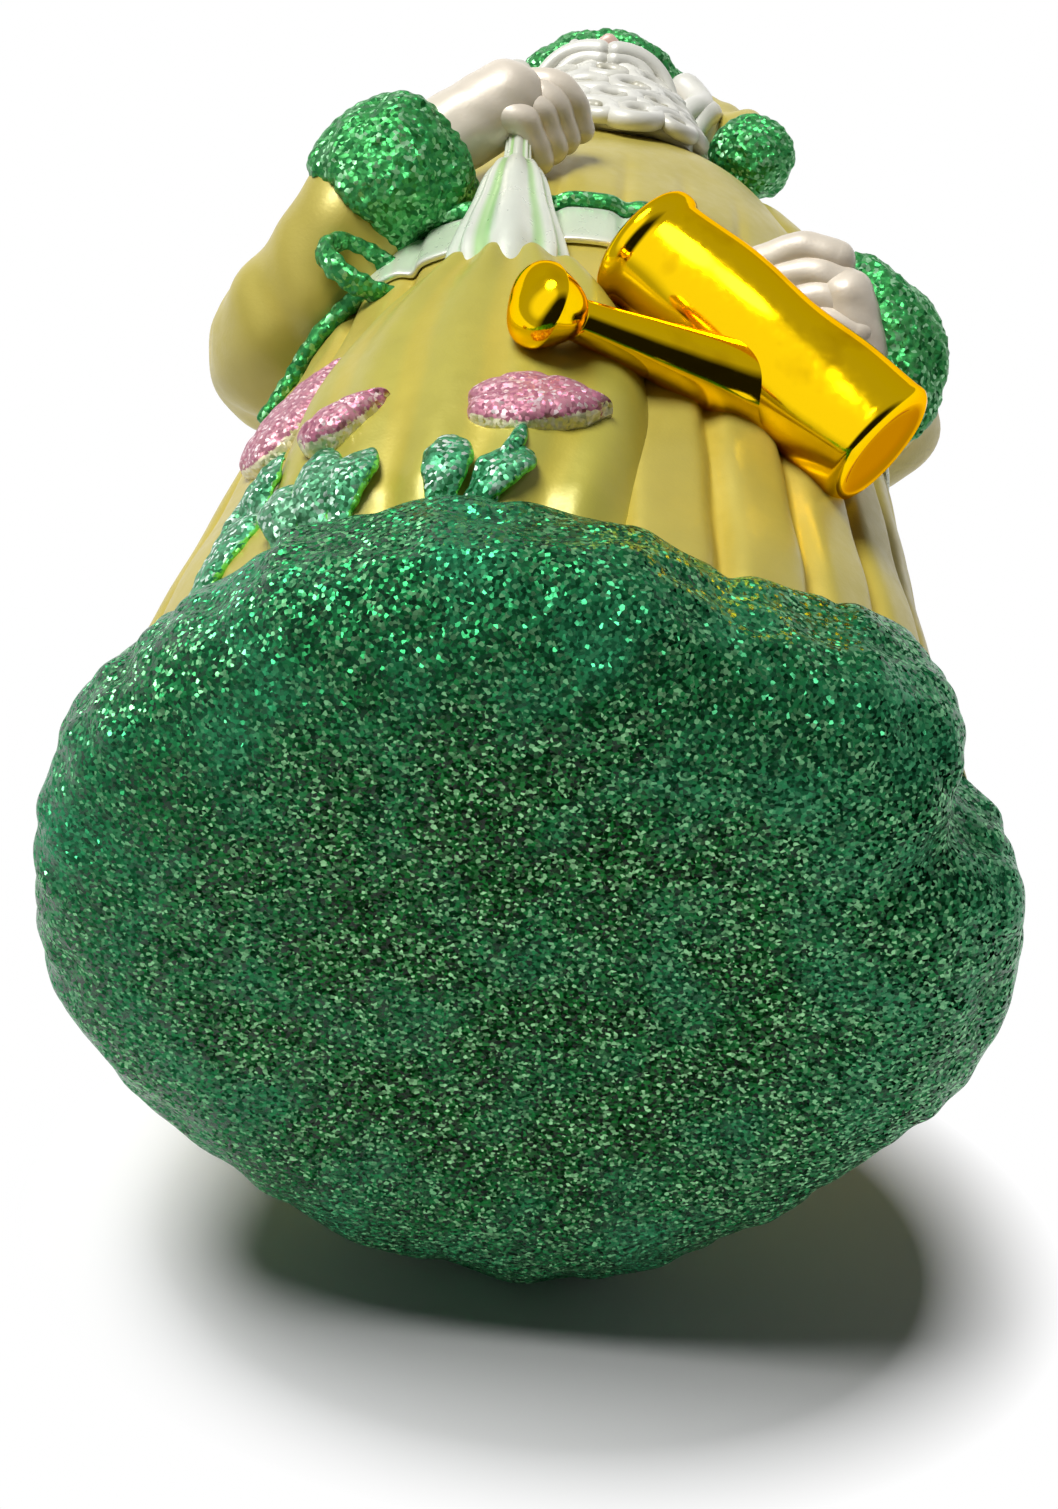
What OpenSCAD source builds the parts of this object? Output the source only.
// Santa ornament: a mould-blown glass figure on a glittered ground mound, with a metal cap
// and a sprung wire loop to hang it by.
// The figure stands along +Z and faces -Y. The origin is the centre of its flat foot.
// Angles round the figure start at the front and turn towards its own left hand, +X.

/* [Ground mound] */
// Width of the mound from side to side
mound_width = 84; // [78:1:90]
// Depth of the mound from front to back
mound_depth = 79; // [76:1:84]
// Height at which the robe rises out of the mound
mound_height = 17; // [15:0.5:20]
// Height of the mound's widest line
rim_height = 8; // [6:0.5:10]
// Diameter of the flat foot
foot_diameter = 54; // [44:1:60]
// How far the mound's upper edge rises and falls
hem_wave = 2; // [0:0.1:2.5]

/* [Robe] */
// Thickness of the blown glass
glass_wall = 1; // [0.8:0.1:1.4]
// Width of the robe at the mound
hem_width = 76; // [72:1:78]
// Depth of the robe at the mound
hem_depth = 67; // [64:1:70]
// Width of the robe at the belt
waist_width = 55; // [51:1:59]
// Depth of the robe at the belt
waist_depth = 50; // [47:1:53]
// Width of the chest
chest_width = 50; // [46:1:54]
// Depth of the chest
chest_depth = 38; // [36:1:41]
// Height of the belt's middle line
belt_height = 67.5; // [65:0.5:70]
// Height of the chest's middle line
chest_height = 92; // [89:0.5:95]
// Height of the collar that the head rests on
collar_height = 121; // [118:0.5:124]
// How far the head stands in front of the foot's centre
lean = 14; // [11:0.5:16]
// How far the head stands towards the figure's left hand
head_shift = 0.5; // [0:0.5:3]
// Number of folds round the skirt
fold_count = 26; // [20:2:32]
// Depth of the skirt's folds
fold_depth = 0.9; // [0.2:0.1:1.4]
// How far the robe swells under the left arm
side_swell = 3; // [0:0.1:3.5]

/* [Belt] */
// Height of the belt
belt_tall = 7; // [5:0.5:9]
// Thickness of the belt
belt_thick = 0.8; // [0.5:0.1:1.2]
// Radius of the round sash on the belt's upper edge
sash_radius = 0.9; // [0.6:0.1:1.2]

/* [Sack] */
// Width of the sack
sack_width = 36; // [33:1:38]
// How far the sack stands out from the robe
sack_proud = 5; // [4:0.5:7]
// How far below the belt's middle line the sack is gathered
sack_drop = 10.5; // [9:0.5:12]
// Height of the sack's lower end
sack_bottom = 22; // [20:0.5:25]
// Number of folds across the sack
sack_folds = 9; // [9:1:12]
// Radius of the gathered neck at its lower end
sack_neck_radius = 4.6; // [3.8:0.1:5.4]
// Radius of the gathered neck in the fist
sack_grip_radius = 2.2; // [1.8:0.1:2.8]

/* [Arms] */
// Radius of the upper sleeve
sleeve_radius = 8.5; // [7.5:0.25:9.5]
// Radius of the sleeve at the wrist
wrist_radius = 6.5; // [5.5:0.25:7.5]
// Radius of the right cuff
right_cuff_radius = 7.5; // [6.8:0.1:8.2]
// Length of the right cuff
right_cuff_length = 13; // [11:0.5:14]
// Radius of the wide left cuff
left_cuff_radius = 10.8; // [9.5:0.1:11.5]
// Length of the wide left cuff
left_cuff_length = 9; // [8:0.5:10]
// Thickness of a finger
finger_thick = 3.6; // [3:0.1:4]

/* [Head and hat] */
// Radius of the head
head_radius = 10.5; // [9.5:0.25:11.5]
// Radius of the hat's fur brim, to its outside
brim_radius = 12; // [11.5:0.25:13]
// Thickness of the fur brim
brim_thick = 5.4; // [4.6:0.2:6]
// Height of the hat's crown above its brim
hat_height = 14; // [12:0.5:17]
// How far the hat leans back
hat_tilt = 15; // [10:1:20]
// Radius of the bobble at the end of the hat's tail
bobble_radius = 4.7; // [4:0.1:5.5]

/* [Watering can] */
// Length of the can
can_length = 30; // [28:0.5:32]
// Radius of the can
can_radius = 6.3; // [5.5:0.1:7]
// Radius of the sprinkler head
rose_radius = 3.9; // [3.2:0.1:4.5]
// Radius of the spout where it leaves the can
spout_radius = 3.2; // [2.6:0.1:3.6]

/* [Flowers] */
// Length of the front flower
flower_length = 11; // [9:0.5:13]
// Length of the flower at the side
side_flower_length = 13; // [11:0.5:15]
// Length of the small flower
small_flower_length = 7.5; // [6:0.5:9]
// How far the flowers stand out
flower_proud = 2; // [1.4:0.1:2.8]

/* [Cap and wire] */
// Outer radius of the glass neck
neck_radius = 5.5; // [5.5:0.1:6.5]
// Length of the glass neck
neck_length = 8; // [7:0.5:10]
// Height of the cap's skirt
cap_height = 6; // [4:0.5:6.5]
// Thickness of the cap's metal
cap_metal = 0.5; // [0.4:0.1:0.8]
// Clearance between the cap and the glass neck
cap_clearance = 0.25; // [0.15:0.05:0.4]
// Radius of the spring wire
wire_radius = 0.45; // [0.35:0.05:0.5]
// Inner diameter of the hanging loop
loop_inner = 8; // [7:0.5:10]
// Distance between the wire's two holes in the cap
wire_spread = 5.4; // [5:0.1:5.8]
// How far the wire's legs reach below the cap
leg_length = 16; // [12:0.5:17]

/* [Hidden] */
$fn = 48;

// Clearance between pieces that are seated on one another
seat = 0.1;
// Points round the robe, three to each fold
round_steps = fold_count * 3;
// Steps up the robe's outside and its inside
robe_rings = 12;
robe_inner_rings = 5;
// Steps from the foot to the rim and from the rim to the hem, outside and inside
mound_steps = 4;
mound_inner_steps = 2;
// Sides of the balls that chains are made of, large and small
ball_sides = 14;
bead_sides = 10;
curl_sides = 8;
// Steps between two key points of a bent line
bend_steps = 2;
// Steps along a turned form
turned_steps = 9;

// Valleys of the mound's rim and, below zero, its lobes: angle, depth, width in degrees
valleys = [
    [22, 2.4, 11], [50, -0.7, 8], [64, 4.4, 7], [125, 2.4, 12], [148, 1, 8],
    [172, -3, 18], [228, 2, 18], [268, 0.7, 12], [314, 1, 14]
];
// Swells of the mound's upper edge: angle, height as a share of the wave, width in degrees
swells = [
    [-25, 0.8, 20], [10, -0.7, 12], [24, -0.6, 9], [53, 2.2, 15], [-64, 1.2, 14],
    [115, 0.9, 22], [180, 0.9, 24], [240, 0.9, 20]
];

// Key lines of the robe up its height
head_rise = 8;
collar_inner = sqrt(head_radius * head_radius - head_rise * head_rise) + seat;
collar_radius = collar_inner + glass_wall;
shoulder_height = (chest_height + 2 * collar_height) / 3;
shoulder_half = mean(chest_width / 2, collar_radius) + 1;
shoulder_front = mean(chest_depth / 2, collar_radius) - 2;
half_widths = [
    [0, hem_width / 2], [mound_height, hem_width / 2], [belt_height, waist_width / 2],
    [chest_height, chest_width / 2], [shoulder_height, shoulder_half], [collar_height, collar_radius]
];
half_depths = [
    [0, hem_depth / 2], [mound_height, hem_depth / 2], [belt_height, waist_depth / 2],
    [chest_height, chest_depth / 2], [shoulder_height, shoulder_front], [collar_height, collar_radius]
];
middles = [
    [0, -1], [mound_height, -1], [belt_height, -0.68 * lean],
    [chest_height, -0.9 * lean], [collar_height, -lean]
];
shifts = [[0, 0], [belt_height, 0], [collar_height, head_shift]];
fold_depths = [
    [0, fold_depth], [mound_height, fold_depth], [belt_height, fold_depth / 4], [chest_height, 0]
];
swell_angle = 86;
swell_height = belt_height - 5;
swell_wide = 30;
swell_tall = 22;

// The belt's edges, and the sash that rests on its upper edge
belt_low = belt_height - belt_tall / 2;
belt_high = belt_height + belt_tall / 2;
sash_middle = belt_high + sash_radius + seat;

// The head stands on the collar; hat, neck, cap and wire share one axis through its middle
head_at = [head_shift, -lean, collar_height + head_rise];
brim_up = 8;
brim_middle = brim_radius - brim_thick / 2;
crown_foot = brim_up + 1;
neck_z = brim_up + hat_height;
neck_top = neck_z + neck_length;
neck_bore = neck_radius - glass_wall;
cap_inner = neck_radius + cap_clearance;
cap_outer = cap_inner + cap_metal;
cap_under = neck_top + cap_clearance;
cap_top = cap_under + cap_metal;
wire_hole_radius = wire_radius + 0.3;
loop_radius = loop_inner / 2 + wire_radius;
loop_drop = sqrt(loop_radius * loop_radius - wire_spread * wire_spread / 4);
loop_z = cap_top + loop_drop + 1;

// The sack hangs a little to the right hand's side of the front
sack_angle = -16;
sack_top = belt_height - sack_drop;
sack_middle = mean(sack_top, sack_bottom);
sack_spread = 360 * sack_width / (2 * PI * hem_width);
neck_turn = 3;
neck_angle = sack_angle + neck_turn;
fist_height = belt_height + 18;

// Key points of the arms: angle round the robe, height, distance out from the robe, radius
right_arm = [
    [-100, collar_height - 14, -2, sleeve_radius * 0.85], [-98, chest_height, 2, sleeve_radius],
    [-86, belt_height + 10.5, 2.2, sleeve_radius], [-72, belt_height + 4, 2, sleeve_radius * 0.94],
    [-54, belt_height + 4.5, 2.8, wrist_radius * 1.06], [-42, belt_height + 8.5, 5, wrist_radius]
];
left_arm = [
    [100, collar_height - 14, -2, sleeve_radius * 0.85], [103, chest_height + 3, 1.5, sleeve_radius * 0.94],
    [95, belt_height + 13.5, 3, sleeve_radius * 0.94], [78, belt_height + 6.5, 2.5, sleeve_radius * 0.9],
    [70, belt_height + 3.5, 2.5, wrist_radius]
];
right_cuff_middle = on_robe(-37, belt_height + 9, 5.5);
right_cuff_way = unit(on_robe(-20, belt_height + 17.5, 6.5) - on_robe(-46, belt_height + 7.5, 5));
left_cuff_middle = on_robe(60, belt_height + 0.5, 1.5);
left_cuff_way = unit([-0.15, -0.72, -0.68]);

// The watering can lies across the left front, its open end towards the sack
can_from = on_robe(44, belt_height - 27.5, 6);
can_line = unit(on_robe(7, belt_height - 9.5, 5) - can_from);
can_to = can_from + can_line * can_length;
spout_from = can_from + can_line * 10.5 + [-1.5, 1.5, -1.2];
rose_at = on_robe(-0.5, belt_height - 28.5, 6.5);

// General functions
function mean(a, b) = (a + b) / 2;
function unit(v) = v / norm(v);
function flat(lists) = [for (l = lists) each l];
function turn_between(a, b) = abs((a - b + 540) % 360 - 180);

// A smooth curve through [place, value] keys, level beyond its ends
function slope(k, i) =
    let (a = max(i - 1, 0), b = min(i + 1, len(k) - 1))
    (k[b][1] - k[a][1]) / (k[b][0] - k[a][0]);
function span_of(k, s) = max([for (i = [0:len(k) - 2]) s >= k[i][0] ? i : 0]);
function curve(k, s) =
    let (
        c = min(max(s, k[0][0]), k[len(k) - 1][0]),
        i = span_of(k, c),
        w = k[i + 1][0] - k[i][0],
        t = (c - k[i][0]) / w,
        u = 1 - t
    )
    u * u * (1 + 2 * t) * k[i][1] + t * t * (1 + 2 * u) * k[i + 1][1]
        + u * u * t * w * slope(k, i) - t * t * u * w * slope(k, i + 1);

// A smooth line through key points, which may carry a radius as their last number
function key_at(p, i) = p[min(max(i, 0), len(p) - 1)];
function bend_at(p, i, t) =
    let (a = key_at(p, i - 1), b = p[i], c = p[i + 1], d = key_at(p, i + 2))
    (2 * b + (c - a) * t + (2 * a - 5 * b + 4 * c - d) * t * t + (3 * b - a - 3 * c + d) * t * t * t) / 2;
function bend(p) =
    [for (i = [0:len(p) - 2]) for (k = [0:bend_steps - 1]) bend_at(p, i, k / bend_steps), p[len(p) - 1]];

// The robe's surface at an angle and a height, moved out by some distance
function swell_at(a, z) =
    let (across = turn_between(a, swell_angle) / swell_wide, up = (z - swell_height) / swell_tall)
    side_swell * exp(-across * across - up * up);
function robe_at(a, z, out = 0) =
    let (
        fold = curve(fold_depths, z) * cos(fold_count * a) + swell_at(a, z),
        half = curve(half_widths, z) + out + fold,
        deep = curve(half_depths, z) + out + fold
    )
    [curve(shifts, z) + half * sin(a), curve(middles, z) - deep * cos(a), z];
// The same without its folds and its swell, for seating other pieces
function on_robe(a, z, out = 0) =
    [
        curve(shifts, z) + (curve(half_widths, z) + out) * sin(a),
        curve(middles, z) - (curve(half_depths, z) + out) * cos(a),
        z
    ];
// A ball's middle, moved forward where the robe would swallow the ball
function robe_front(x, z) =
    let (share = (x - curve(shifts, z)) / curve(half_widths, z))
    curve(middles, z) - curve(half_depths, z) * sqrt(max(1 - share * share, 0));
function before_robe(p, r) = [p.x, min(p.y, robe_front(p.x, p.z) - 0.3 * r), p.z];
function bumps(list, a) =
    [for (b = list) b[1] * exp(-pow(turn_between(a, b[0]) / b[2], 2))] * [for (b = list) 1];
function hem_at(a) = mound_height + hem_wave * bumps(swells, a);
function robe_ring(z, out = 0) =
    [for (i = [0:round_steps - 1]) robe_at(360 * i / round_steps, z, out)];

// Rings of the robe from its wavy hem to its collar
function robe_wall(out, rings) =
    [
        for (k = [0:rings])
            [
                for (i = [0:round_steps - 1])
                    let (a = 360 * i / round_steps, z = hem_at(a) + (collar_height - hem_at(a)) * k / rings)
                    robe_at(a, z, out)
            ]
    ];

// The mound's rim, less its valleys
function rim_at(a, out) =
    let (
        half = mound_width / 2 + out - bumps(valleys, a),
        deep = mound_depth / 2 + out - bumps(valleys, a)
    )
    [half * sin(a), -deep * cos(a), rim_height];
// Rings of the mound's wall from its foot to the hem of the robe, moved in by some distance
function mound_wall(in, steps) =
    let (foot = foot_diameter / 2 - in / 2)
    [
        for (k = [0:2 * steps])
            [
                for (i = [0:round_steps - 1])
                    let (
                        a = 360 * i / round_steps,
                        low = [foot * sin(a), -foot * cos(a), in],
                        wide = rim_at(a, -in),
                        high = robe_at(a, hem_at(a), -in),
                        t = 90 * (k % steps) / steps
                    )
                    k == 2 * steps ? high
                        : k < steps
                        ? [
                            low.x + (wide.x - low.x) * sin(t),
                            low.y + (wide.y - low.y) * sin(t),
                            low.z + (wide.z - low.z) * (1 - cos(t))
                        ]
                        : [
                            high.x + (wide.x - high.x) * cos(t),
                            high.y + (wide.y - high.y) * cos(t),
                            wide.z + (high.z - wide.z) * sin(t)
                        ]
            ]
    ];
function turned_back(list) = [for (i = [len(list) - 1:-1:0]) list[i]];

// A closed skin over rings of points: capped at both ends, or joined end to end
module skin(rings, joined = false) {
    n = len(rings[0]);
    m = len(rings);
    walls = [
        for (k = [0:joined ? m - 1 : m - 2])
            for (i = [0:n - 1])
                let (a = k * n, b = ((k + 1) % m) * n, j = (i + 1) % n)
                each [[a + i, b + i, b + j], [a + i, b + j, a + j]]
    ];
    caps = joined ? [] : [[for (i = [0:n - 1]) i], [for (i = [n - 1:-1:0]) (m - 1) * n + i]];
    polyhedron(points = flat(rings), faces = concat(walls, caps), convexity = 8);
}

// A chain of balls, each joined to the next: points carry their radius as the last number
module chain(points, grow = 0, sides = ball_sides) {
    for (i = [0:len(points) - 2]) {
        hull() {
            ball(points[i], grow, sides);
            ball(points[i + 1], grow, sides);
        }
    }
}
module ball(p, grow = 0, sides = ball_sides) {
    translate([p[0], p[1], p[2]])
        sphere(r = p[3] + grow, $fn = sides);
}

// A coarse ball that clears a true ball by the seat all over, for cutting other pieces
module ball_cut(at, r, sides = 20) {
    translate(at)
        sphere(r = (r + seat) / pow(cos(180 / sides), 2), $fn = sides);
}

// Puts what is drawn along +Z on the line from one point to another
module along(from, to) {
    d = to - from;
    translate(from)
        rotate([0, acos(d.z / norm(d)), atan2(d.y, d.x)])
            children();
}

// A turned form as a chain of short cones through [height, radius] steps
module turned(steps, grow = 0, sides = 22) {
    for (i = [0:len(steps) - 2]) {
        hull() {
            for (s = [steps[i], steps[i + 1]])
                translate([0, 0, s[0]])
                    cylinder(r = s[1] + grow, h = 0.02, $fn = sides);
        }
    }
}

// The robe and the mound as filled forms, for seating other pieces on them
module robe_form() {
    skin(robe_wall(seat, robe_rings));
}
module mound_form() {
    skin(mound_wall(-seat, mound_steps));
}
// The belt and its sash as one filled form
module belt_form() {
    low = belt_low - seat;
    high = sash_middle + sash_radius + seat;
    sash_out = 2 * (sash_radius + seat);
    skin([
        robe_ring(low), robe_ring(low, belt_thick + seat), robe_ring(belt_high - seat, belt_thick + seat),
        robe_ring(belt_high, sash_out), robe_ring(high, sash_out), robe_ring(high)
    ]);
}
module dressed_form() {
    robe_form();
    belt_form();
}

// Ground mound and robe
module ground_mound() {
    color("seagreen")
        skin(concat(mound_wall(0, mound_steps), turned_back(mound_wall(glass_wall, mound_inner_steps))));
}
module robe() {
    color("khaki")
        skin(
            concat(robe_wall(0, robe_rings), turned_back(robe_wall(-glass_wall, robe_inner_rings))),
            joined = true
        );
}

// Belt
module belt() {
    color("gainsboro")
        skin([
            robe_ring(belt_low, belt_thick), robe_ring(belt_high, belt_thick),
            robe_ring(belt_high, seat), robe_ring(belt_low, seat)
        ], joined = true);
}
module sash() {
    sides = 5;
    color("seagreen")
        skin([
            for (k = [0:sides - 1])
                let (t = 360 * k / sides - 90)
                robe_ring(sash_middle + sash_radius * sin(t), seat + sash_radius * (1 + cos(t)))
        ], joined = true);
}

// Sack with its gathered neck: folds run from the neck over the belly to the lower end
sack_belly = sack_middle - 2;
function sack_rise(s) = abs(s) < 1.2 ? cos(60 * s) : 0;
function sack_keys(s) =
    [[sack_bottom, 1], [sack_belly, sack_proud * sack_rise(s)], [sack_top, 4 * sack_rise(s)]];
function on_front(a, z, out) =
    let (s = (a - sack_angle) / sack_spread)
    on_robe(a, z, out + (sack_rise(s) > 0 ? lookup(z, sack_keys(s)) : 0));
function sack_fold(k) =
    let (
        s = 2 * k / (sack_folds - 1) - 1, keys = sack_keys(s),
        fat = [2.4, 3.4, 2.4], pull = [0.9, 1, 0.34], turn = [0, 0, neck_turn]
    )
    [
        for (i = [0:2])
            let (a = sack_angle + turn[i] + s * sack_spread * pull[i])
            concat(on_robe(a, keys[i][0], keys[i][1] - fat[i]), fat[i])
    ];
module sack_form(grow = 0) {
    for (k = [0:sack_folds - 1]) {
        hull() {
            for (p = sack_fold(k))
                ball(p, grow, bead_sides);
        }
    }
}
module sack() {
    color("palegoldenrod")
        difference() {
            sack_form();
            dressed_form();
            mound_form();
            leaf_form(all_blades, seat);
        }
}
sack_neck_out = 5.7;
sack_neck_from = on_robe(neck_angle, sack_top, 3.4);
sack_neck_to = on_robe(neck_angle - 1, fist_height, sack_neck_out);
sack_neck_reach = norm(sack_neck_to - sack_neck_from);
sack_rib = 1.1;
module sack_neck_form() {
    ribs = 8;
    along(sack_neck_from, sack_neck_to)
        for (i = [0:ribs - 1]) {
            a = 360 * i / ribs;
            hull() {
                for (s = [[0, sack_neck_radius], [sack_neck_reach, sack_grip_radius]]) {
                    translate([(s[1] - sack_rib) * cos(a), (s[1] - sack_rib) * sin(a), s[0]])
                        sphere(r = sack_rib, $fn = curl_sides);
                    translate([0, 0, s[0]])
                        sphere(r = sack_rib, $fn = curl_sides);
                }
            }
        }
}
// A plain cone that clears the ribbed neck, for cutting other pieces
module sack_neck_cut(sides = 20) {
    wide = (sack_neck_radius + seat) / cos(180 / sides);
    narrow = (sack_grip_radius + seat) / cos(180 / sides);
    along(sack_neck_from, sack_neck_to)
        translate([0, 0, -sack_rib])
            cylinder(r1 = wide, r2 = narrow, h = sack_neck_reach + 2 * sack_rib, $fn = sides);
}
module sack_neck() {
    color("honeydew")
        difference() {
            sack_neck_form();
            sack_form(seat);
            dressed_form();
        }
}

// Arms
function arm(keys) = [for (k = keys) concat(on_robe(k[0], k[1], k[2]), k[3])];
// A cuff swells from the wrist to its full radius and back: middle, direction, length, radius
right_cuff_place = [right_cuff_middle, right_cuff_way, right_cuff_length, right_cuff_radius];
left_cuff_place = [left_cuff_middle, left_cuff_way, left_cuff_length, left_cuff_radius];
module cuff_form(place, grow = 0) {
    half = place[2] / 2 + grow;
    along(place[0] - place[1] * half, place[0])
        turned([
            for (k = [0:turned_steps])
                let (t = 180 * k / turned_steps)
                [half * (1 - cos(t)), (place[3] + grow) * (0.45 + 0.55 * pow(sin(t), 0.7))]
        ]);
}
module right_cuff() {
    color("seagreen")
        difference() {
            cuff_form(right_cuff_place);
            dressed_form();
            sack_neck_cut();
        }
}
module left_cuff() {
    color("seagreen")
        difference() {
            cuff_form(left_cuff_place);
            dressed_form();
            can_form(seat);
        }
}
module right_sleeve() {
    color("khaki")
        difference() {
            chain(bend(arm(right_arm)));
            dressed_form();
            cuff_form(right_cuff_place, seat);
        }
}
module left_sleeve() {
    color("khaki")
        difference() {
            chain(bend(arm(left_arm)));
            dressed_form();
            cuff_form(left_cuff_place, seat);
            ball_cut(bobble_at, bobble_radius);
        }
}

// A closed hand: a palm from the wrist to the knuckles, four fingers round a grip, and a thumb
module hand_form(wrist, knuckles, curl, side, thumb, grow = 0) {
    finger = finger_thick / 2;
    chain([concat(wrist, finger * 2.3), concat(knuckles, finger * 2.2)], grow);
    for (i = [0:3]) {
        shift = side * (i - 1.5) * finger_thick * 0.86;
        chain([
            concat(knuckles + shift, finger),
            concat(knuckles + shift + curl[0], finger * 0.96),
            concat(knuckles + shift + curl[1], finger * 0.86)
        ], grow, bead_sides);
    }
    chain([concat(wrist, finger * 1.3), concat(knuckles + thumb, finger)], grow, bead_sides);
}
right_wrist = right_cuff_middle + right_cuff_way * right_cuff_length * 0.45;
right_knuckles = on_robe(neck_angle - 1, fist_height, sack_neck_out + 3);
left_wrist = left_cuff_middle + left_cuff_way * left_cuff_length * 0.45 + [2.5, 0, 0];
left_knuckles = left_wrist + [0.2, -5, 0.8];
module right_hand() {
    color("tan")
        difference() {
            hand_form(
                right_wrist, right_knuckles,
                curl = [[3.4, -1.2, -1.5], [5, 1.6, -3.8]],
                side = [0.35, -0.1, -0.95], thumb = [1.3, 0.8, 4.6]
            );
            cuff_form(right_cuff_place, seat);
            sack_neck_cut();
            dressed_form();
        }
}
module left_hand() {
    color("tan")
        difference() {
            hand_form(
                left_wrist, left_knuckles,
                curl = [[-2.2, -3.2, -0.4], [-3.6, -3.6, -3.2]],
                side = [0.85, 0.1, -0.5], thumb = [-3, 4, 3]
            );
            cuff_form(left_cuff_place, seat);
            dressed_form();
            can_form(seat);
            can_handle_form(seat);
        }
}

// Head
nose_radius = 2;
nose_at = head_at + [0, -head_radius - nose_radius * 0.2, -0.5];
module on_hat_axis() {
    translate(head_at)
        rotate([-hat_tilt, 0, 0])
            children();
}
module head() {
    color("bisque") {
        translate(head_at)
            rotate_extrude()
                difference() {
                    circle(r = head_radius);
                    circle(r = head_radius - glass_wall);
                    translate([-2 * head_radius, -head_radius])
                        square([2 * head_radius, 2 * head_radius]);
                    translate([0, -head_radius])
                        square([collar_inner - 2 * glass_wall, head_radius]);
                    square([neck_bore - glass_wall, head_radius]);
                }
        translate(nose_at)
            sphere(r = nose_radius);
    }
}

// Hair, beard and moustache are curls: short chains of balls over the head
function curl_at(a, lift, out) =
    head_at + (head_radius + out) * [sin(a) * cos(lift), -cos(a) * cos(lift), sin(lift)];
module hair_form(grow = 0) {
    for (a = [70:22:290], lift = [-36, -8])
        chain([
            concat(curl_at(a, lift, -0.5), 2.7),
            concat(curl_at(a + 6, lift - 16, 0.8), 3.2)
        ], grow, curl_sides);
}
module hair() {
    color("white")
        difference() {
            hair_form();
            ball_cut(head_at, head_radius);
            dressed_form();
            brim_cut();
            beard_form(seat);
        }
}
beard_length = 17;
module beard_form(grow = 0) {
    rows = 3;
    for (r = [0:rows - 1], s = [-1:0.5:1]) {
        t = r / (rows - 1);
        wide = 66 * (1 - 0.2 * t);
        top = curl_at(wide * s, -24 - 8 * t, 0.5);
        fall = [1.5 * t, -4 * t, -beard_length * t + 3 * abs(s) * t];
        start = before_robe(top + fall, 3.4);
        end = before_robe(start + [1.4 * s, -0.6, -4.4], 2.6);
        chain([concat(start, 3.4), concat(end, 2.6)], grow, curl_sides);
    }
}
module beard() {
    color("white")
        difference() {
            beard_form();
            ball_cut(head_at, head_radius);
            ball_cut(nose_at, nose_radius);
            ball_cut(bobble_at, bobble_radius);
            dressed_form();
        }
}
module moustache() {
    color("white")
        difference() {
            for (side = [-1, 1])
                chain([
                    for (t = [0:0.2:1])
                        concat(curl_at(side * (5 + 38 * t), -20 - 16 * t * t, 4.2), 1.8 - 0.9 * t)
                ], sides = curl_sides);
            ball_cut(head_at, head_radius);
            ball_cut(nose_at, nose_radius);
            beard_form(seat);
        }
}

// Hat
module hat_brim() {
    color("seagreen")
        on_hat_axis()
            rotate_extrude()
                difference() {
                    translate([brim_middle, brim_up])
                        circle(r = brim_thick / 2);
                    circle(r = head_radius + seat);
                }
}
// A coarse brim that clears the true one, for cutting other pieces
module brim_cut() {
    on_hat_axis()
        rotate_extrude($fn = 28)
            translate([brim_middle, brim_up])
                circle(r = brim_thick / 2 + 3 * seat, $fn = 16);
}
// The crown's outline from its foot on the brim to the glass neck
crown_outline = [
    [crown_foot, brim_middle + 0.6], [crown_foot + hat_height * 0.3, brim_middle + 0.6],
    [crown_foot + hat_height * 0.65, brim_middle - 1], [neck_z, neck_radius]
];
crown_steps = 10;
function crown_side(in) =
    [
        for (k = [0:crown_steps])
            let (z = crown_foot + (neck_z - crown_foot) * k / crown_steps)
            [curve(crown_outline, z) - in, z]
    ];
module crown_profile() {
    polygon(concat(
        crown_side(0), [[neck_radius, neck_top], [neck_bore, neck_top]],
        turned_back(crown_side(glass_wall))
    ));
}
module hat_crown() {
    color("khaki")
        on_hat_axis()
            rotate_extrude()
                difference() {
                    crown_profile();
                    translate([brim_middle, brim_up])
                        circle(r = brim_thick / 2 + seat);
                    circle(r = head_radius + seat);
                }
}
// The filled hat down to the middle of the head, for cutting other pieces
module hat_cut() {
    on_hat_axis()
        rotate_extrude($fn = 28)
            polygon(concat([[0, 0], [brim_middle, 0]], crown_side(-2 * seat), [[0, neck_z]]));
}
bobble_at = head_at + [17.2, -5, -10];
module hat_tail() {
    color("khaki")
        difference() {
            chain(bend([
                concat(head_at + [2, 4, crown_foot + 5], 6), concat(head_at + [9, 3, crown_foot + 3], 5.4),
                concat(head_at + [14.5, 0, 3], 4.2), concat(bobble_at + [0, 0, bobble_radius], 2.8)
            ]));
            hat_cut();
            ball_cut(head_at, head_radius);
            brim_cut();
            hair_form(seat);
            ball_cut(bobble_at, bobble_radius);
        }
}
module hat_bobble() {
    color("seagreen")
        translate(bobble_at)
            sphere(r = bobble_radius);
}

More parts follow.
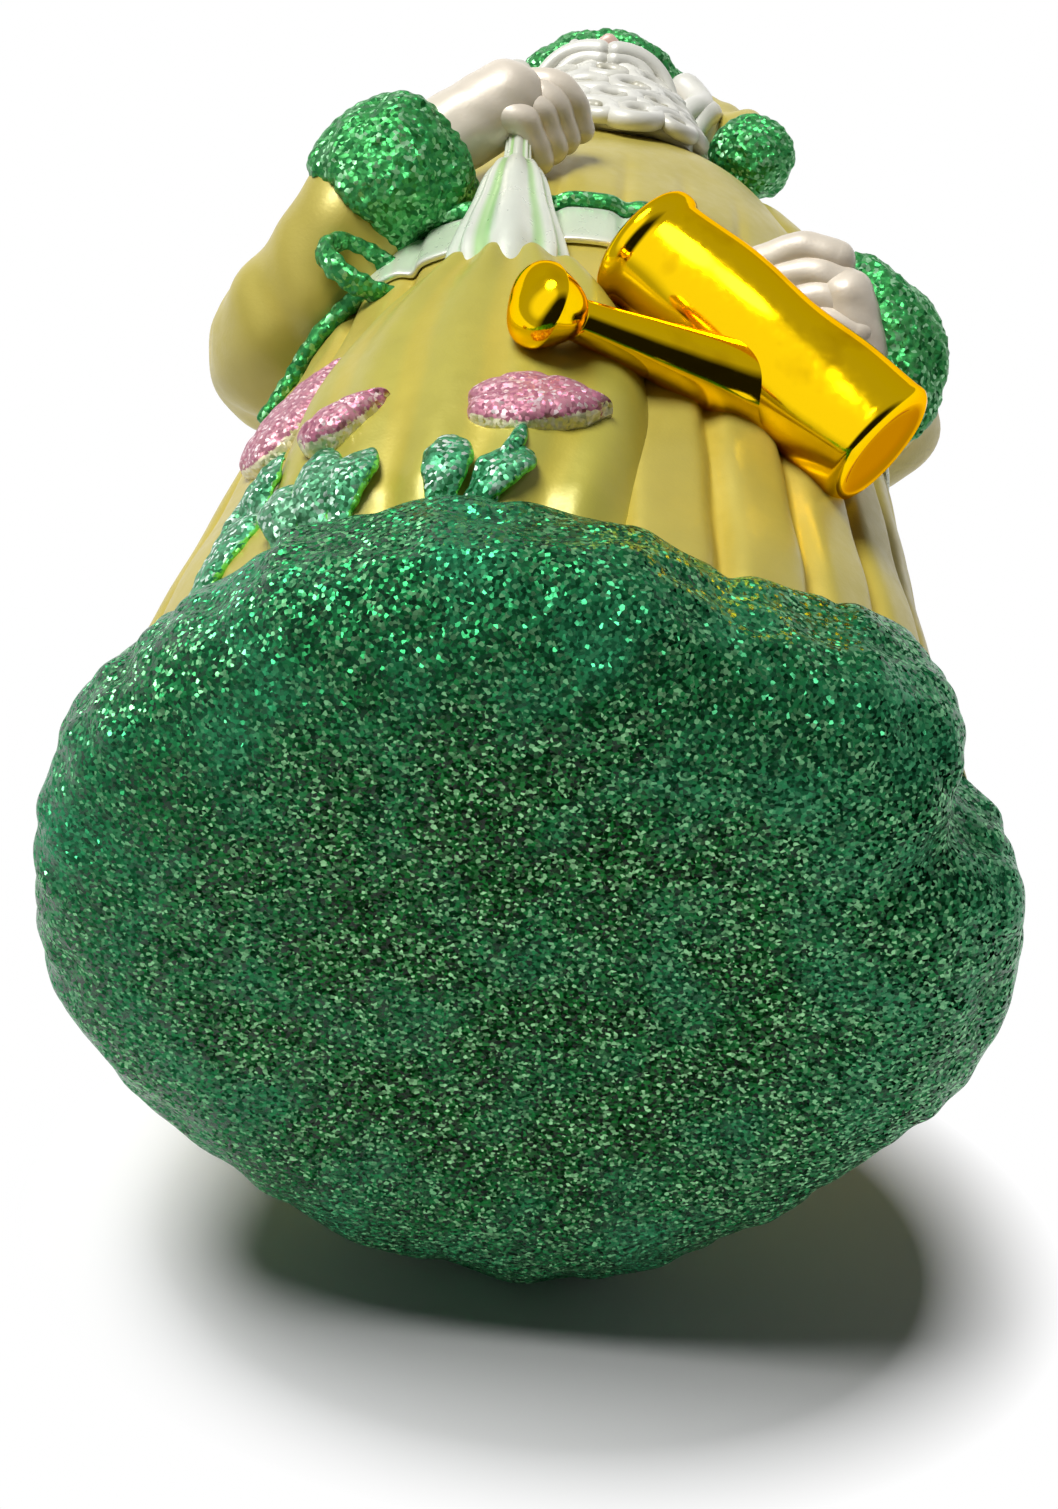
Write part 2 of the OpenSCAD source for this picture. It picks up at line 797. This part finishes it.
// Watering can
can_steps = [
    [0, can_radius - 1], [0.5, can_radius - 0.2], [1.2, can_radius], [2, can_radius - 0.1],
    [can_length * 0.35, can_radius - 0.5], [can_length * 0.7, can_radius - 0.9],
    [can_length - 2.4, can_radius - 1.3], [can_length - 1.8, can_radius - 0.7],
    [can_length - 0.6, can_radius - 0.7], [can_length, can_radius - 1.6]
];
module can_form(grow = 0) {
    along(can_from - can_line * grow, can_to)
        turned([for (s = can_steps) [s[0] * (1 + 2 * grow / can_length), s[1]]], grow, 28);
}
module can_body() {
    color("gold")
        difference() {
            can_form();
            dressed_form();
            mound_form();
            sack_form(seat);
        }
}
spout_reach = norm(rose_at - spout_from);
spout_end = spout_radius * 0.55;
spout_steps = [
    for (k = [0:turned_steps])
        let (t = k / turned_steps)
        [spout_reach * t, spout_radius + (spout_end - spout_radius) * t]
];
module spout_form(grow = 0) {
    along(spout_from, rose_at)
        turned(spout_steps, grow, 16);
}
module can_spout() {
    color("gold")
        difference() {
            spout_form();
            can_form(seat);
            rose_form(seat);
            sack_form(seat);
            dressed_form();
        }
}
rose_deep = 6;
// The sprinkler head widens from the spout over three quarters of its depth, then rounds off
rose_wide = 0.75;
function rose_at_depth(t) =
    t < rose_wide ? spout_end + (rose_radius - spout_end) * pow(t / rose_wide, 0.8)
        : rose_radius * sqrt(1 - pow((t - rose_wide) / 0.36, 2));
rose_steps = [
    for (k = [0:turned_steps])
        let (t = k / turned_steps)
        [rose_deep * t, rose_at_depth(t)]
];
module rose_form(grow = 0) {
    along(rose_at, rose_at + rose_at - spout_from)
        turned(rose_steps, grow, 20);
}
module can_rose() {
    color("gold")
        difference() {
            rose_form();
            sack_form(seat);
            dressed_form();
        }
}
handle_way = unit([0.25, 0.1, 0.96]);
handle_rise = 3;
handle_keys = [
    can_from + can_line * can_length * 0.3 + handle_way * (can_radius - 1.2),
    can_from + can_line * can_length * 0.38 + handle_way * (can_radius + handle_rise),
    can_from + can_line * can_length * 0.62 + handle_way * (can_radius + handle_rise),
    can_from + can_line * can_length * 0.7 + handle_way * (can_radius - 1.6)
];
module can_handle_form(grow = 0) {
    chain(bend([for (p = handle_keys) concat(p, 1.5)]), grow, bead_sides);
}
module can_handle() {
    color("gold")
        difference() {
            can_handle_form();
            can_form(seat);
            dressed_form();
            cuff_form(left_cuff_place, seat);
        }
}

// Flowers: almond-shaped blossoms that lie on the robe, as a chain of balls sunk into it
function side_way(a, z) = unit(on_robe(a + 1, z) - on_robe(a - 1, z));
function up_way(a, z) = unit(on_robe(a, z + 1) - on_robe(a, z - 1));
// Balls along a blossom: place as a share of its length, radius as a share of its half width
blossom_keys = [[-0.3, 0.7], [-0.08, 1], [0.18, 0.85], [0.42, 0.35]];
module flower_form(f, grow = 0) {
    way = side_way(f[0], f[1]) * sin(f[3]) + up_way(f[0], f[1]) * cos(f[3]);
    out = cross(side_way(f[0], f[1]), up_way(f[0], f[1]));
    middle = on_front(f[0], f[1], 0);
    chain([
        for (k = blossom_keys)
            concat(middle + way * f[2] * k[0] + out * k[1] * (flower_proud - f[4]), f[4] * k[1])
    ], grow);
}
// Each flower: angle round the robe, height, length, angle from upright, half width
front_flower_place = [-4, mound_height + 13.5, flower_length, 84, flower_length * 0.3];
side_flower_place = [-46, mound_height + 25, side_flower_length, 36, side_flower_length * 0.2];
small_flower_place = [-28, mound_height + 13.5, small_flower_length, 53, small_flower_length * 0.22];
module flower(place) {
    color("hotpink")
        difference() {
            flower_form(place);
            dressed_form();
            sack_form(seat);
            leaf_form(all_blades, seat);
        }
}
module front_flower() {
    flower(front_flower_place);
}
module side_flower() {
    flower(side_flower_place);
}
module small_flower() {
    flower(small_flower_place);
}

// Leaves and stems: angle at the foot, angle at the tip, height of the tip over the mound, half width
side_blades = [[-52, -39, 14, 2.2], [-50, -45, 21, 0.9]];
middle_blades = [[-34, -35, 9, 1.8], [-30, -29, 12, 1.9], [-27, -23, 9, 1.7]];
front_blades = [[-14, -13, 8, 1.8], [-10, -5, 7, 1.9], [-8, -4, 9, 0.9]];
all_blades = concat(side_blades, middle_blades, front_blades);
module leaf_form(blades, grow = 0) {
    for (b = blades) {
        foot = on_front(b[0], mound_height + hem_wave, 0.4);
        middle = on_front(mean(b[0], b[1]), mound_height + b[2] / 2, 0.5);
        tip = on_front(b[1], mound_height + b[2], 0.3);
        chain(bend([concat(foot, b[3] * 0.8), concat(middle, b[3]), concat(tip, 0.8)]), grow, curl_sides);
    }
}
module tuft(blades) {
    color("mediumseagreen")
        difference() {
            leaf_form(blades);
            dressed_form();
            mound_form();
        }
}
module side_leaf() {
    tuft(side_blades);
}
module middle_leaves() {
    tuft(middle_blades);
}
module front_leaves() {
    tuft(front_blades);
}

// Loop and loose end of the sash, at the right hand's side
sash_width = 1.7;
module sash_loop_form(grow = 0) {
    middle = on_robe(-42, belt_height - 2.5, 2);
    chain([
        for (t = [0:30:360])
            concat(middle + [3.4 * cos(t) - 0.4, 1.6 * cos(t), 2.6 * sin(t)], sash_width / 2)
    ], grow, curl_sides);
}
module sash_loop() {
    color("seagreen")
        difference() {
            sash_loop_form();
            dressed_form();
            cuff_form(right_cuff_place, seat);
            chain(bend(arm(right_arm)), seat);
        }
}
module sash_tail() {
    color("seagreen")
        difference() {
            chain(bend([
                for (k = [[-47, 3.5], [-56, 5.5], [-64, 7.5], [-70, 10.5]])
                    concat(on_robe(k[0], belt_height - k[1], 0.8), sash_width / 2)
            ]), sides = curl_sides);
            dressed_form();
            sash_loop_form(seat);
            chain(bend(arm(right_arm)), seat);
        }
}

// Metal cap over the glass neck, with two holes for the wire
module cap() {
    bead = cap_metal;
    skirt = neck_top - cap_height;
    color("goldenrod")
        on_hat_axis()
            difference() {
                rotate_extrude()
                    union() {
                        translate([cap_inner, skirt])
                            square([cap_metal, cap_top - skirt]);
                        translate([0, cap_under])
                            square([cap_outer, cap_metal]);
                        translate([cap_outer, skirt + bead])
                            circle(r = bead);
                    }
                for (side = [-1, 1])
                    translate([side * wire_spread / 2, 0, cap_under - 1])
                        cylinder(r = wire_hole_radius, h = cap_metal + 2);
            }
}

// Sprung wire: a round loop above the cap and two legs in the neck
module hanging_loop() {
    opening = asin(wire_spread / (2 * loop_radius));
    splay = 0.4;
    color("goldenrod")
        on_hat_axis() {
            translate([0, 0, loop_z])
                rotate([90, 0, 0])
                    rotate([0, 0, opening - 90])
                        rotate_extrude(angle = 360 - 2 * opening)
                            translate([loop_radius, 0])
                                circle(r = wire_radius);
            for (side = [-1, 1]) {
                top = [side * wire_spread / 2, 0, loop_z - loop_drop];
                foot = [side * (wire_spread / 2 + splay), 0, cap_under - leg_length];
                translate(top)
                    sphere(r = wire_radius);
                along(top, foot)
                    cylinder(r = wire_radius, h = norm(foot - top));
            }
        }
}

ground_mound();
robe();
belt();
sash();
sack();
sack_neck();
right_sleeve();
left_sleeve();
right_cuff();
left_cuff();
right_hand();
left_hand();
head();
hair();
beard();
moustache();
hat_brim();
hat_crown();
hat_tail();
hat_bobble();
can_body();
can_spout();
can_rose();
can_handle();
front_flower();
side_flower();
small_flower();
side_leaf();
middle_leaves();
front_leaves();
sash_loop();
sash_tail();
cap();
hanging_loop();
